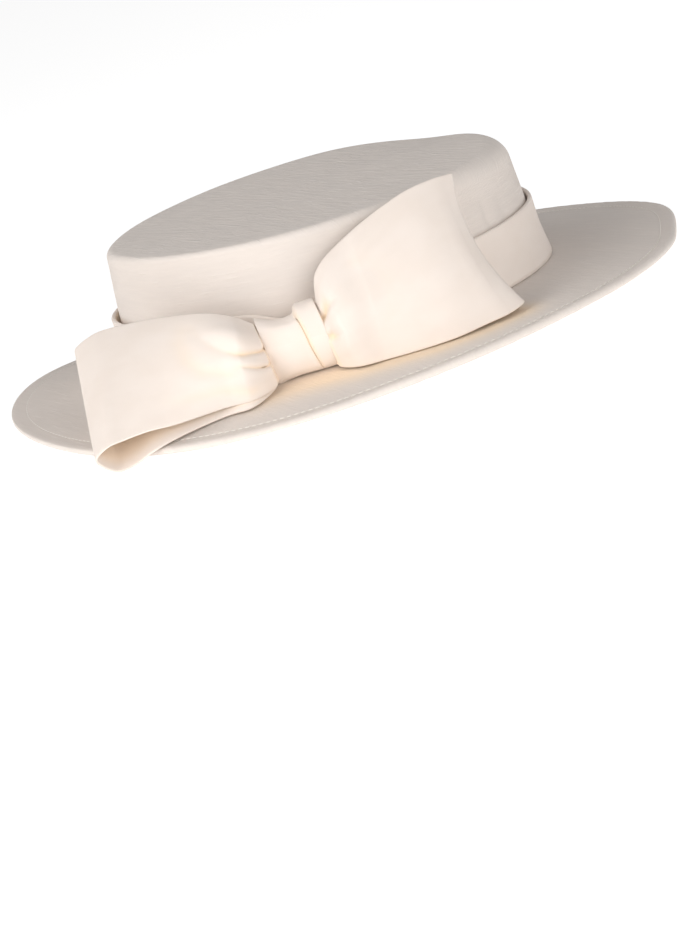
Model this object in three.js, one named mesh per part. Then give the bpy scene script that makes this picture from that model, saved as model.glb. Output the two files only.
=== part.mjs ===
// A fascinator hat: a small boater in stiff cream cloth with a folded hatband and a pinched bow.
// Millimetres, +Z up, the bow on the -Y side. The hat stands on the lowest stretches of its
// waved brim, which lie flat on Z = 0.
import * as THREE from "three";

// Brim
const BRIM_RADIUS = 150; // out to the outside of the rolled edge
const CLOTH = 2; // stiffened cloth of the brim and the crown
const EDGE_ROLL = 3.4; // cloth rolled over the edge wire
const HEAD_HOLE_RADIUS = 86;
const BRIM_RINGS = [HEAD_HOLE_RADIUS, 94, 106, 119, 132]; // radii where its slope may change
const SEAT_HEIGHT = 4.6; // the brim's middle surface where the crown stands, over its mean edge
const SADDLE = { lift: 4.6, at: -4, waves: 2 }; // sides up, front and back down
const SWEEP = { lift: 2.9, at: 48, waves: 3 };
const WAVE_GROWTH = 1.3; // how late the waves grow on the way out to the edge

// Crown
const CROWN_BASE_RADIUS = 92.3;
const CROWN_TOP_RADIUS = 89.4;
const CROWN_TOP = 61.3; // the tip, over the brim's mean edge
const TIP_EDGE = { radius: 7.5, swing: 5, at: 46 }; // a crisp edge front left, a soft one back right
const TIP_RISE = 0.7; // the tip's slight dome
const TIP_SLOPE = { x: -0.018, y: 0.028 }; // the tip leans down to the right and to the front
const CROWN_SHIFT = -1.5; // the crown stands a little left of the brim's middle

// Hatband
const BAND_TOP = 32.5;
const BAND_CLOTH = 2;
const BAND_STAND_OFF = 0.4; // air between the band and the crown
const BAND_FLARE = 0.9; // how much further the lower edge stands out
const BAND_FOLD = 0.6; // height of the soft fold along its upper edge

// Bow
const RIBBON_CLOTH = 1.2;
const SEAT_GAP = 0.3; // between two sewn pieces

// How the hat stands: turned about X and Y until its three lowest stretches meet the floor, and
// lifted so that their rolled edge is pressed a little flat.
const STAND_TURN = [0.58, 2.15, 0].map(THREE.MathUtils.degToRad);
const STAND_LIFT = 5.5;

const AROUND = 80;
const TURN = 2 * Math.PI;
const { degToRad: radians, radToDeg: degrees, clamp, lerp, smoothstep } = THREE.MathUtils;

// ---- Shared shapes ----

// Height of the brim's middle surface at a radius and an angle.
function brimHeight(radius, angle) {
  const out = clamp((radius - CROWN_BASE_RADIUS) / (BRIM_RADIUS - CROWN_BASE_RADIUS), 0, 1);
  const wave = ({ lift, at, waves }) => lift * Math.cos(waves * (angle - radians(at)));
  return SEAT_HEIGHT * (1 - out) + (wave(SADDLE) + wave(SWEEP)) * out ** WAVE_GROWTH;
}

// A body turned about Z whose section may change on the way round: profileAt(angle) gives the
// [radius, height] points of the section, as many at every angle.
function turned(profileAt) {
  const section = profileAt(0).map(([radius, height]) => new THREE.Vector2(radius, height));
  const geometry = new THREE.LatheGeometry(section, AROUND).rotateX(Math.PI / 2);
  const position = geometry.getAttribute("position");
  for (let i = 0; i <= AROUND; i++) {
    const angle = ((i % AROUND) / AROUND) * TURN - Math.PI / 2;
    profileAt(angle).forEach(([radius, height], j) => {
      const place = [radius * Math.cos(angle), radius * Math.sin(angle), height];
      position.setXYZ(i * section.length + j, ...place);
    });
  }
  return geometry;
}

// Moves every vertex of a geometry by a function that changes it in place.
function reshape(geometry, change) {
  const position = geometry.getAttribute("position");
  const point = new THREE.Vector3();
  for (let i = 0; i < position.count; i++) {
    change(point.fromBufferAttribute(position, i));
    position.setXYZ(i, point.x, point.y, point.z);
  }
  return geometry;
}

// Points on an arc of a section, with angles in degrees.
function arc([centreRadius, centreHeight], radius, from, to, steps) {
  return Array.from({ length: steps + 1 }, (_, i) => {
    const angle = radians(lerp(from, to, i / steps));
    return [centreRadius + radius * Math.cos(angle), centreHeight + radius * Math.sin(angle)];
  });
}

// Evenly spaced numbers from 0 to 1.
const even = (steps) => Array.from({ length: steps + 1 }, (_, i) => i / steps);

// A cloth around the surface middle(u, v), with a vertex at every pair of the given stations.
// A ring closes on itself along u, so its first and last station are the same place. A surface
// also answers a little outside 0 to 1, because its slope is taken to both sides.
function cloth(middle, stationsU, stationsV, thickness, ring = false) {
  const small = 1e-3;
  const corners = [];
  for (const side of [0.5, -0.5])
    for (const u of ring ? stationsU.slice(0, -1) : stationsU)
      for (const v of stationsV) {
        const along = middle(u + small, v).sub(middle(u - small, v));
        const across = middle(u, v + small).sub(middle(u, v - small));
        const normal = along.cross(across).normalize();
        corners.push(...middle(u, v).addScaledVector(normal, side * thickness).toArray());
      }
  const [alongSteps, acrossSteps] = [stationsU.length - 1, stationsV.length - 1];
  const rows = ring ? alongSteps : alongSteps + 1;
  const at = (side, i, j) => (side * rows + (i % rows)) * stationsV.length + j;
  const faces = [];
  const quad = (a, b, c, d) => faces.push(a, b, c, a, c, d);
  for (let i = 0; i < alongSteps; i++) {
    for (let j = 0; j < acrossSteps; j++) {
      quad(at(0, i, j), at(0, i + 1, j), at(0, i + 1, j + 1), at(0, i, j + 1));
      quad(at(1, i, j), at(1, i, j + 1), at(1, i + 1, j + 1), at(1, i + 1, j));
    }
    const last = acrossSteps;
    quad(at(0, i, 0), at(1, i, 0), at(1, i + 1, 0), at(0, i + 1, 0));
    quad(at(0, i, last), at(0, i + 1, last), at(1, i + 1, last), at(1, i, last));
  }
  for (let j = 0; !ring && j < acrossSteps; j++) {
    const last = alongSteps;
    quad(at(0, 0, j), at(0, 0, j + 1), at(1, 0, j + 1), at(1, 0, j));
    quad(at(0, last, j), at(1, last, j), at(1, last, j + 1), at(0, last, j + 1));
  }
  const geometry = new THREE.BufferGeometry();
  geometry.setAttribute("position", new THREE.Float32BufferAttribute(corners, 3));
  geometry.setIndex(faces);
  return geometry;
}

// ---- Brim ----

// Presses what would reach below the floor flat onto it, as the weight of the hat does.
function pressed(geometry) {
  const stand = new THREE.Quaternion().setFromEuler(new THREE.Euler(...STAND_TURN));
  const up = new THREE.Vector3(0, 0, 1).applyQuaternion(stand.invert());
  const floor = new THREE.Plane(up, STAND_LIFT);
  return reshape(geometry, (p) => p.addScaledVector(up, Math.max(0, -floor.distanceToPoint(p))));
}

function brim() {
  const half = CLOTH / 2;
  const roll = EDGE_ROLL / 2;
  const joins = 180 - degrees(Math.asin(half / roll));
  const top = BRIM_RINGS.map((radius) => [radius, half]);
  const underside = BRIM_RINGS.map((radius) => [radius, -half]).reverse();
  const edge = arc([BRIM_RADIUS - roll, 0], roll, joins, -joins, 6);
  const section = [...top, ...edge, ...underside, top[0]].reverse();
  const waved = (angle) =>
    section.map(([radius, height]) => [radius, height + brimHeight(radius, angle)]);
  return pressed(turned(waved));
}

// ---- Crown and hatband ----

const CROWN_FOOT = SEAT_HEIGHT + CLOTH / 2 + SEAT_GAP;

// Radius of the crown's outside at a height on its side.
function crownRadius(height) {
  const share = (height - CROWN_FOOT) / (CROWN_TOP - CROWN_FOOT);
  return lerp(CROWN_BASE_RADIUS, CROWN_TOP_RADIUS, share);
}

// Gives the crown and what is on it their lean and their shift.
function lean(geometry) {
  return reshape(geometry, (p) => {
    const share = clamp((p.z - CROWN_FOOT) / (CROWN_TOP - CROWN_FOOT), 0, 1);
    p.z += share * (TIP_SLOPE.x * p.x + TIP_SLOPE.y * p.y);
    p.x += CROWN_SHIFT;
  });
}

// The crown's section from its foot to the middle of its tip, moved inwards by depth.
function crownSide(angle, depth, edgeSteps) {
  const edgeRadius = TIP_EDGE.radius + TIP_EDGE.swing * Math.cos(angle - radians(TIP_EDGE.at));
  const flat = CROWN_TOP_RADIUS - edgeRadius;
  const edge = arc([flat, CROWN_TOP - edgeRadius], edgeRadius - depth, 0, 90, edgeSteps);
  const tip = [0.6, 0].map((share) => [flat * share, CROWN_TOP + TIP_RISE * (1 - share ** 2) - depth]);
  return [[CROWN_BASE_RADIUS - depth, CROWN_FOOT], ...edge, ...tip];
}

function crown() {
  return lean(turned((angle) => [...crownSide(angle, CLOTH, 3).reverse(), ...crownSide(angle, 0, 6)]));
}

function hatband() {
  const low = CROWN_FOOT;
  const stand = (height, out) => {
    const drop = (BAND_TOP - height) / (BAND_TOP - low);
    return [crownRadius(height) + BAND_STAND_OFF + out + BAND_FLARE * drop ** 2, height];
  };
  const heights = [low, (low + BAND_TOP) / 2, BAND_TOP - BAND_FOLD];
  const outside = heights.map((height) => stand(height, BAND_CLOTH));
  const inside = heights.map((height) => stand(height, 0)).reverse();
  const fold = [stand(BAND_TOP, BAND_CLOTH * 0.75), stand(BAND_TOP, BAND_CLOTH * 0.25)];
  return lean(turned(() => [...outside, ...fold, ...inside, outside[0]]));
}

// ---- Bow ----

// Each loop is a ribbon that leaves the knot, turns round its fold and comes back. A row is one
// section across it: the lower and the upper edge of the front layer, how far that layer bellies
// out, and how far behind and below them the two edges of the back layer lie.
const SECTION = [
  "lowX", "lowY", "lowZ", "highX", "highY", "highZ",
  "belly", "lowBack", "lowDrop", "highBack", "highDrop",
];
const named = (row) => Object.fromEntries(SECTION.map((name, i) => [name, row[i]]));
const sections = (rows) => rows.map(named);

// A crease runs out from the knot at a share of the ribbon's width, and dies away along it.
const LEFT_LOOP = {
  sections: sections([
    [-22, -103.8, 8.8, -22, -101.5, 29.4, 1.5, 4, 0, 4, 0],
    [-34, -103, 8.8, -36, -100.5, 29.4, 2, 4, 0, 4, 0],
    [-46, -118, 5.5, -44, -101, 35, 6, -2.5, 4, 6, 0],
    [-57, -119, 5.8, -54, -97, 38.5, 6, 1, 5, 5, 2.5],
    [-77, -124, 7, -74, -88.5, 41, 4, 2.5, 8, 6.5, 5],
    [-88, -127, 8.2, -83.5, -85, 41.5, 3, 2.5, 11, 7, 6.8],
    [-98, -129, 8.6, -92, -81, 41.5, 2.5, 5.5, 15, 8, 8.5],
    [-105, -130, 6.6, -101, -78, 40.5, 2, 6.5, 13.2, 7, 9.5],
  ]),
  fold: { low: [-111, -128, 1], high: [-110, -73.5, 35.5], hollow: 0 },
  creases: [{ at: 0.61, deep: 1.5 }, { at: 0.43, deep: 1.8 }],
};

const RIGHT_LOOP = {
  sections: sections([
    [-20, -105, 8.6, -20, -103, 29.4, 1.5, 4, 0, 4, 0],
    [-7.8, -106.3, 8.2, -10.8, -103.3, 29.4, 1.5, 4, 0, 4, 0],
    [1, -116, 4.2, -6, -101, 42.5, 5, 10, -0.5, 4, 0],
    [13, -118.5, 3.8, 11, -98, 52.5, 6, 13, -1.5, 4, 0.5],
    [39, -119, 4, 35.5, -90, 60.5, 4.5, 17, -2, 6, 1.5],
    [53.5, -115, 5, 46.5, -85, 61.5, 3, 16.5, -2, 8, 1.5],
    [63, -111, 5.5, 53.5, -80, 61, 2.5, 15, -2, 9, 1.5],
  ]),
  fold: { low: [70, -104, 6.8], high: [58, -75, 60], hollow: 3 },
  creases: [{ at: 0.78, deep: 1.5 }, { at: 0.47, deep: 1.8 }],
};

const CREASE_WIDTH = 0.06; // share of the ribbon's width
const CREASE_REACH = 0.09; // share of the ribbon's length
const FOLD_REACH = 0.1; // share of the ribbon's length that a hollow fold draws in

// The middle surface of a loop: u runs out along the front layer, round the fold and back along
// the back layer, and v from the lower edge to the upper edge.
function loopSurface({ sections: front, fold, creases }) {
  const back = [...front].reverse();
  const place = (s, side) => new THREE.Vector3(s[side + "X"], s[side + "Y"], s[side + "Z"]);
  const edge = (side) =>
    new THREE.CatmullRomCurve3([
      ...front.map((s) => place(s, side)),
      new THREE.Vector3(...fold[side]),
      ...back.map((s) => place(s, side).add(new THREE.Vector3(0, s[side + "Back"], -s[side + "Drop"]))),
    ]);
  const [low, high] = [edge("low"), edge("high")];
  const bellies = [...front.map((s) => s.belly), 0.5, ...back.map(() => 0)];
  const outwards = Math.sign(fold.low[0]);
  return (along, v) => {
    const u = clamp(along, 0, 1);
    const rowsOn = u * (bellies.length - 1);
    const row = Math.min(Math.floor(rowsOn), bellies.length - 2);
    const belly = lerp(bellies[row], bellies[row + 1], rowsOn - row) * 4 * v * (1 - v);
    const creased = creases.map(({ at, deep }) => deep * Math.exp(-(((v - at) / CREASE_WIDTH) ** 2)));
    const crease = creased.reduce((a, b) => a + b) * Math.exp(-((u / CREASE_REACH) ** 2));
    const hollow = fold.hollow * 4 * v * (1 - v) * Math.exp(-(((u - 0.5) / FOLD_REACH) ** 2));
    const lower = low.getPoint(u);
    const rise = high.getPoint(u).sub(lower);
    const forward = new THREE.Vector3(0, -rise.z, rise.y).normalize();
    const point = lower.addScaledVector(rise, v).addScaledVector(forward, belly - crease);
    point.x -= outwards * hollow;
    return point;
  };
}

function bowLoop(loop) {
  const acrossCreases = loop.creases.flatMap(({ at }) => [at - CREASE_WIDTH, at, at + CREASE_WIDTH]);
  const across = [0, ...acrossCreases, 0.14, 0.28, 0.92, 1].sort((a, b) => a - b);
  return cloth(loopSurface(loop), even(28), across, RIBBON_CLOTH);
}

// The knot is a strip wrapped round the middle of the bow, a leaning oval ring. Its right part is
// folded over into a pleat that stands proud of the rest in front.
const KNOT = {
  y: -103.1, z: 18.7, // the middle of the ring
  deep: 8, tall: 12.8, // half its size, to the middle of the cloth
  lean: 6, // degrees, the top towards the crown
  bend: 130, // radius it is bent to, round the hatband
  square: 2.6, // 2 is an ellipse, and more is squarer
  top: { left: -35.5, pleat: -19.5, right: -11 }, // X at the upper end
  bottom: { left: -33, pleat: -14, right: -7.5 }, // X at the lower end
  pleatFrom: 0.7, // share of the strip's width where the pleat starts
  pleatStep: 1.3,
};
const PLEAT_EDGE = 0.05; // share of the strip's width over which the pleat steps up

function knotSurface(u, v) {
  const power = 2 / KNOT.square;
  const rounded = (value) => Math.sign(value) * Math.abs(value) ** power;
  const angle = u * TURN;
  const folded = smoothstep(v, KNOT.pleatFrom, KNOT.pleatFrom + PLEAT_EDGE);
  const proud = KNOT.pleatStep * folded * Math.max(0, Math.cos(angle));
  const forward = (KNOT.deep + proud) * rounded(Math.cos(angle));
  const up = KNOT.tall * rounded(Math.sin(angle));
  const height = (Math.sin(angle) + 1) / 2;
  const [left, pleat, right] = ["left", "pleat", "right"].map((side) =>
    lerp(KNOT.bottom[side], KNOT.top[side], height),
  );
  const x =
    v < KNOT.pleatFrom
      ? lerp(left, pleat, v / KNOT.pleatFrom)
      : lerp(pleat, right, (v - KNOT.pleatFrom) / (1 - KNOT.pleatFrom));
  const tilt = radians(KNOT.lean);
  const bent = (x - CROWN_SHIFT) ** 2 / (2 * KNOT.bend);
  const y = KNOT.y + bent - forward * Math.cos(tilt) + up * Math.sin(tilt);
  const z = KNOT.z + forward * Math.sin(tilt) + up * Math.cos(tilt);
  return new THREE.Vector3(x, y, z);
}

function bowKnot() {
  const { pleatFrom } = KNOT;
  const across = [0, pleatFrom / 2, pleatFrom, pleatFrom + PLEAT_EDGE, 1];
  return cloth(knotSurface, even(32), across, RIBBON_CLOTH, true);
}

// ---- The hat ----

const finish = (color, roughness) => new THREE.MeshStandardMaterial({ color, roughness, metalness: 0 });
const slubCloth = () => finish(0xe8e2d9, 0.85);
const ribbonCloth = () => finish(0xf4eade, 0.65);

const hat = new THREE.Group();
const pieces = [
  ["brim", brim(), slubCloth()],
  ["crown", crown(), slubCloth()],
  ["hatband", hatband(), ribbonCloth()],
  ["bow_loop_left", bowLoop(LEFT_LOOP), ribbonCloth()],
  ["bow_loop_right", bowLoop(RIGHT_LOOP), ribbonCloth()],
  ["bow_knot", bowKnot(), ribbonCloth()],
];
for (const [name, geometry, material] of pieces) {
  const mesh = new THREE.Mesh(geometry, material);
  mesh.name = name;
  hat.add(mesh);
}
hat.rotation.set(...STAND_TURN);
hat.position.z = STAND_LIFT;

export default hat;
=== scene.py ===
# %% [markdown]
# # A boater fascinator in ivory cloth
#
# A small stiff hat: a shallow crown and a wide waved brim covered in slub cloth, a folded
# hatband, and a flat bow pinched by a knot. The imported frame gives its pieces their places. This
# lesson gives each of them its cloth, its folds and its stitches.

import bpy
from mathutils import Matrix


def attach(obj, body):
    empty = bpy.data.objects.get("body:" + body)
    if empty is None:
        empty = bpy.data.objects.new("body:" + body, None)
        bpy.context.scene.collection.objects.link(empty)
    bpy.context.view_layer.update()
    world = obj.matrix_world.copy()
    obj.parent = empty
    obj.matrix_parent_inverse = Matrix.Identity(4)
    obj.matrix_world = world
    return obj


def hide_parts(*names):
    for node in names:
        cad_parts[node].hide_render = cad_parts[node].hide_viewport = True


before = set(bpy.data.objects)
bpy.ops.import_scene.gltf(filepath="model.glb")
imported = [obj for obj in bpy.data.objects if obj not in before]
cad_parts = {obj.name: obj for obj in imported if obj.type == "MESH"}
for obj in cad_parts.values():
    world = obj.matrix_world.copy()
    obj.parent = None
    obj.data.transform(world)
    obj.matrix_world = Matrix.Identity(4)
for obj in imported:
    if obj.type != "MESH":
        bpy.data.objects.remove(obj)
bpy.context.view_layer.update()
print("frame pieces:", sorted(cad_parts))

# %% [markdown]
# ## Working in millimetres
#
# A hatter thinks in millimetres from the middle of the head hole, with the brim level. The waved
# brim doesn't stand level, though: it tips until three low stretches of its edge meet the table.
# So every shape is worked out level and in millimetres, and one function then tips it and turns
# it into the metres of the scene. The alternative, parenting all to a tipped empty, would leave
# the meshes themselves in the wrong place for anything that reads them.

# %% Places
import math

import bmesh
import bpy
import numpy as np
from mathutils import Matrix, Vector

MM = 0.001  # in metres
CM = 0.1  # centimetres of flat cloth to a millimetre
TIP_ABOUT_X, TIP_ABOUT_Y = math.radians(0.58), math.radians(2.15)
LIFT = 5.5  # height of the brim's level middle over the table

STAND = np.array((Matrix.Rotation(TIP_ABOUT_X, 3, "X") @ Matrix.Rotation(TIP_ABOUT_Y, 3, "Y")))


def standing(points):
    """Points of the level hat, in millimetres, where they are in the scene, in metres."""
    return (np.asarray(points, float) @ STAND.T + (0, 0, LIFT)) * MM


def direction(vector):
    """A direction of the level hat, in the scene."""
    return Vector(STAND @ np.asarray(vector, float)).normalized()


print("the brim's middle stands at", standing((0, 0, 0)))

# %% [markdown]
# ## The camera
#
# The hat is seen from the front and from a little above, with the camera rolled to one side, as
# on a head that is cocked. A long lens keeps the brim's ellipse calm. The camera's place is
# worked out from angles and a distance, so it stays right if the hat changes.

# %% Camera
CAMERA_DISTANCE = 1350.0
CAMERA_RAISED = math.radians(10.77)
CAMERA_ROLLED = math.radians(17.11)
AIMED_BELOW = math.radians(2.66)  # aimed under the hat, which leaves free floor in front of it
AIMED_RIGHT = math.radians(0.05)
LENS, SENSOR = 119.6, 36.0

towards = np.array((0, -math.cos(CAMERA_RAISED), math.sin(CAMERA_RAISED)))
level_right = np.array((1.0, 0.0, 0.0))
level_up = np.cross(towards, level_right)
rolled_right = math.cos(CAMERA_ROLLED) * level_right - math.sin(CAMERA_ROLLED) * level_up
rolled_up = math.sin(CAMERA_ROLLED) * level_right + math.cos(CAMERA_ROLLED) * level_up
look = -towards - math.tan(AIMED_BELOW) * rolled_up + math.tan(AIMED_RIGHT) * rolled_right

forward = direction(look)
right = direction(rolled_right)
right = (right - right.dot(forward) * forward).normalized()
up = right.cross(forward)

camera_data = bpy.data.cameras.new("camera")
camera_data.lens = LENS
camera_data.sensor_width = SENSOR
camera = bpy.data.objects.new("camera", camera_data)
turned = Matrix((right, up, -forward)).transposed().to_4x4()
camera.matrix_world = Matrix.Translation(standing(towards * CAMERA_DISTANCE)) @ turned
bpy.context.scene.collection.objects.link(camera)
bpy.context.scene.camera = camera
print("camera at", [round(x, 3) for x in camera.matrix_world.translation])

# %% [markdown]
# ## Light and floor
#
# White cloth shows its shape only where the light is uneven. Two big soft lamps stand low, one at
# the left and one at the front right. They make everything upright bright and leave the brim and
# the tip, which face up, in half shade; a weak one high at the left lifts them a little. The rest
# is a dim sky. The floor is a pale sheet that glows, as paper on a light table does: it keeps the
# background clean and lights the brim from below.

# %% Floor and lights
FLOOR_SIZE = 40.0
FLOOR_GLOW = 0.79
LAMP_DISTANCE = 2.4
LAMP_SIZE = 1.5
WARM_WHITE = (1.0, 0.978, 0.962)
SKY_BLUE, SKY_STRENGTH = (0.95, 0.972, 1.0), 0.315


def node_material(name):
    """A new node material, with its node tree and its main shader."""
    material = bpy.data.materials.new(name)
    material.use_nodes = True
    tree = material.node_tree
    return material, tree, tree.nodes["Principled BSDF"]


paper, _, paper_shader = node_material("pale_paper")
paper_shader.inputs["Base Color"].default_value = (0.5, 0.5, 0.5, 1)
paper_shader.inputs["Roughness"].default_value = 0.9
paper_shader.inputs["Specular IOR Level"].default_value = 0.0
paper_shader.inputs["Emission Color"].default_value = (1, 0.995, 0.99, 1)
paper_shader.inputs["Emission Strength"].default_value = FLOOR_GLOW

floor_mesh = bpy.data.meshes.new("floor")
half = FLOOR_SIZE / 2
corners = [(-half, -half, 0), (half, -half, 0), (half, half, 0), (-half, half, 0)]
floor_mesh.from_pydata(corners, [], [(0, 1, 2, 3)])
floor_mesh.materials.append(paper)
floor = bpy.data.objects.new("floor", floor_mesh)
bpy.context.scene.collection.objects.link(floor)


def soft_lamp(name, bearing, height, power):
    """A square area lamp that faces the hat, with its angles in degrees. The bearing is from the
    front, positive to the right."""
    bearing, height = math.radians(bearing), math.radians(height)
    lamp = bpy.data.lights.new(name, "AREA")
    lamp.size = LAMP_SIZE
    lamp.energy = power
    lamp.color = WARM_WHITE
    place = Vector((
        math.sin(bearing) * math.cos(height),
        -math.cos(bearing) * math.cos(height),
        math.sin(height),
    )) * LAMP_DISTANCE
    thing = bpy.data.objects.new(name, lamp)
    thing.matrix_world = Matrix.Translation(place) @ place.to_track_quat("Z", "Y").to_matrix().to_4x4()
    bpy.context.scene.collection.objects.link(thing)


soft_lamp("key", -50, 21, 29.5)
soft_lamp("front_right", 30, 12, 26.0)
soft_lamp("high_left", -90, 55, 7.8)

sky = bpy.data.worlds.new("sky")
sky.use_nodes = True
background = sky.node_tree.nodes["Background"]
background.inputs["Color"].default_value = (*SKY_BLUE, 1)
background.inputs["Strength"].default_value = SKY_STRENGTH
bpy.context.scene.world = sky
bpy.context.scene.view_settings.view_transform = "Standard"

# %% [markdown]
# ## Cloth from a grid
#
# Each piece of this hat is a sheet: it has a place on the flat cloth and a place in the air. So
# each mesh is a grid of points worked out by a formula, and its UV map says where on the flat
# cloth each point was cut from, in centimetres. The weave then follows the cloth round every
# fold. Modelling by hand and unwrapping later would stretch the threads at random.

# %% Cloth meshes
def sheet_of(name, points, threads, rows_meet=False, columns_meet=False):
    """A smooth mesh over points[row, column], with threads[row, column] as its UV map.
    Where the rows or the columns meet, threads has one more of them than points has."""
    rows, columns = points.shape[:2]
    i = np.arange(rows if rows_meet else rows - 1)
    j = np.arange(columns if columns_meet else columns - 1)
    i, j = (grid.ravel() for grid in np.meshgrid(i, j, indexing="ij"))
    corners = [(i, j), (i + 1, j), (i + 1, j + 1), (i, j + 1)]
    faces = np.stack([(a % rows) * columns + b % columns for a, b in corners], 1)
    flat = np.stack([threads[a, b] for a, b in corners], 1)
    mesh = bpy.data.meshes.new(name)
    mesh.from_pydata(standing(points.reshape(-1, 3)).tolist(), [], faces.tolist())
    layer = mesh.uv_layers.new(name="threads")
    layer.uv.foreach_set("vector", flat.astype(np.float32).ravel())
    piece = bpy.data.objects.new(name, mesh)
    bpy.context.scene.collection.objects.link(piece)
    return piece


def sewn_up(piece, material):
    """Closes what is open, merges points that meet, turns the faces out and sets the finish."""
    shape = bmesh.new()
    shape.from_mesh(piece.data)
    bmesh.ops.remove_doubles(shape, verts=shape.verts, dist=0.01 * MM)
    bmesh.ops.holes_fill(shape, edges=[e for e in shape.edges if e.is_boundary])
    bmesh.ops.recalc_face_normals(shape, faces=shape.faces)
    for face in shape.faces:
        face.smooth = True
    shape.to_mesh(piece.data)
    shape.free()
    piece.data.materials.append(material)
    print(f"{piece.name}: {len(piece.data.polygons)} faces, closed")
    return piece


def store(piece, name, values):
    """Stores a number at each point of the mesh, for its material to read."""
    layer = piece.data.attributes.new(name, "FLOAT", "POINT")
    layer.data.foreach_set("value", np.asarray(values, np.float32).ravel())


def smooth_line(points, steps):
    """Points along a smooth line through the given ones, that many steps to each stretch."""
    points = np.asarray(points, float)
    ends = [2 * points[0] - points[1]], [2 * points[-1] - points[-2]]
    points = np.concatenate([ends[0], points, ends[1]])
    line = []
    for a, b, c, d in zip(points, points[1:], points[2:], points[3:]):
        gaps = [max(np.linalg.norm(q - p) ** 0.5, 1e-4) for p, q in ((a, b), (b, c), (c, d))]
        leave = (b - a) / gaps[0] - (c - a) / (gaps[0] + gaps[1]) + (c - b) / gaps[1]
        reach = (c - b) / gaps[1] - (d - b) / (gaps[1] + gaps[2]) + (d - c) / gaps[2]
        t = np.linspace(0, 1, steps, endpoint=False)[:, None]
        leave, reach = leave * gaps[1], reach * gaps[1]
        square, cube = 3 * (c - b) - 2 * leave - reach, 2 * (b - c) + leave + reach
        line.append(b + leave * t + square * t**2 + cube * t**3)
    return np.concatenate(line + [points[-2:-1]])


def wander(angle, counts):
    """A gentle irregular wave round the hat, from -1 to 1, out of regular ones. The counts say
    how often each of those goes up and down on the way round."""
    total = sum(np.sin(count * angle + 1.7 * count**1.5) for count in counts)
    return total / len(counts)


# %% [markdown]
# ## Slub cloth
#
# The brim and the crown are covered in a slub weave: the weft is spun unevenly, so fine streaks
# run across the cloth, some of them thick enough to catch the light. A picture of cloth would blur
# up close, so the threads are made of stretched noise. One noise, very long and very narrow,
# gives the streaks; a rarer one gives the slubs; two wave patterns give the weave. Where the
# cloth is drawn taut the streaks flatten, so each mesh stores how slack it is at each point.

# %% Slub cloth material
WAVE_BANDS = 1.5915  # at a scale of 1, the wave texture draws twice as many ridges to a unit
# Painted warm light: the colour that cream cloth is painted where it stands lit only by other cream cloth.
PEACH_PAINTED_LIGHT = (1.0, 0.81, 0.61)  # cream cloth lit only by other cream cloth
SLUB_PALE = (0.87, 0.79, 0.725)
SLUB_GREY = (0.755, 0.685, 0.63)
SLUB_DRIFT = (0.80, 0.73, 0.675)
SLUB_THICK = (0.95, 0.89, 0.84)
WEAVE_DEPTH, STREAK_DEPTH, SLUB_DEPTH = 0.03 * MM, 0.4 * MM, 0.15 * MM


def added(tree, kind, **settings):
    """A new node of that kind in the tree, with some of its inputs set."""
    node = tree.nodes.new(kind)
    for name, value in settings.items():
        node.inputs[name].default_value = value
    return node


def mapped(tree, source, scale, place=(0, 0, 0)):
    """The source coordinates, scaled and moved."""
    mapping = added(tree, "ShaderNodeMapping", Scale=scale, Location=place)
    tree.links.new(source, mapping.inputs["Vector"])
    return mapping.outputs["Vector"]


def noise(tree, coordinates, detail=2.0, roughness=0.5, distortion=0.0):
    """A noise of about one blob to each unit of its coordinates."""
    settings = {"Scale": 1.0, "Detail": detail, "Roughness": roughness, "Distortion": distortion}
    texture = added(tree, "ShaderNodeTexNoise", **settings)
    tree.links.new(coordinates, texture.inputs["Vector"])
    return texture.outputs["Fac"]


def waves(tree, coordinates, along, distortion):
    """Parallel ridges, two to each unit of the coordinates, across X or Y."""
    settings = {"Scale": 1 / WAVE_BANDS, "Detail": 1.0, "Distortion": distortion}
    texture = added(tree, "ShaderNodeTexWave", **settings)
    texture.bands_direction = along
    tree.links.new(coordinates, texture.inputs["Vector"])
    return texture.outputs["Fac"]


def ranged(tree, value, low, high, to_low=0.0, to_high=1.0):
    """The value, taken from one range to another and held inside it."""
    node = tree.nodes.new("ShaderNodeMapRange")
    node.interpolation_type = "SMOOTHSTEP"
    for name, number in zip(("From Min", "From Max", "To Min", "To Max"), (low, high, to_low, to_high)):
        node.inputs[name].default_value = number
    tree.links.new(value, node.inputs["Value"])
    return node.outputs["Result"]


def combined(tree, operation, first, second):
    """Two values, or a value and a number, put together by a math node."""
    node = tree.nodes.new("ShaderNodeMath")
    node.operation = operation
    for socket, value in zip(node.inputs, (first, second)):
        if isinstance(value, (int, float)):
            socket.default_value = value
        else:
            tree.links.new(value, socket)
    return node.outputs["Value"]


def blended(tree, amount, first, second):
    """A colour between two colours, each a tuple or a socket."""
    node = tree.nodes.new("ShaderNodeMix")
    node.data_type = "RGBA"
    tree.links.new(amount, node.inputs["Factor"])
    for socket, colour in ((node.inputs[6], first), (node.inputs[7], second)):
        if isinstance(colour, tuple):
            socket.default_value = (*colour, 1)
        else:
            tree.links.new(colour, socket)
    return node.outputs[2]


def raised(tree, height, depth, normal=None):
    """A bump from a height, where depth is what 1 stands for in metres."""
    node = added(tree, "ShaderNodeBump", Strength=1.0, Distance=depth)
    tree.links.new(height, node.inputs["Height"])
    if normal is not None:
        tree.links.new(normal, node.inputs["Normal"])
    return node.outputs["Normal"]


def stored(tree, name):
    """A number that the mesh stores at each of its points, or 0 where it stores none."""
    attribute = tree.nodes.new("ShaderNodeAttribute")
    attribute.attribute_name = name
    return attribute.outputs["Fac"]


def flat_place(tree):
    """The place on the flat cloth, in centimetres."""
    threads = tree.nodes.new("ShaderNodeUVMap")
    threads.uv_map = "threads"
    return threads.outputs["UV"]


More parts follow.
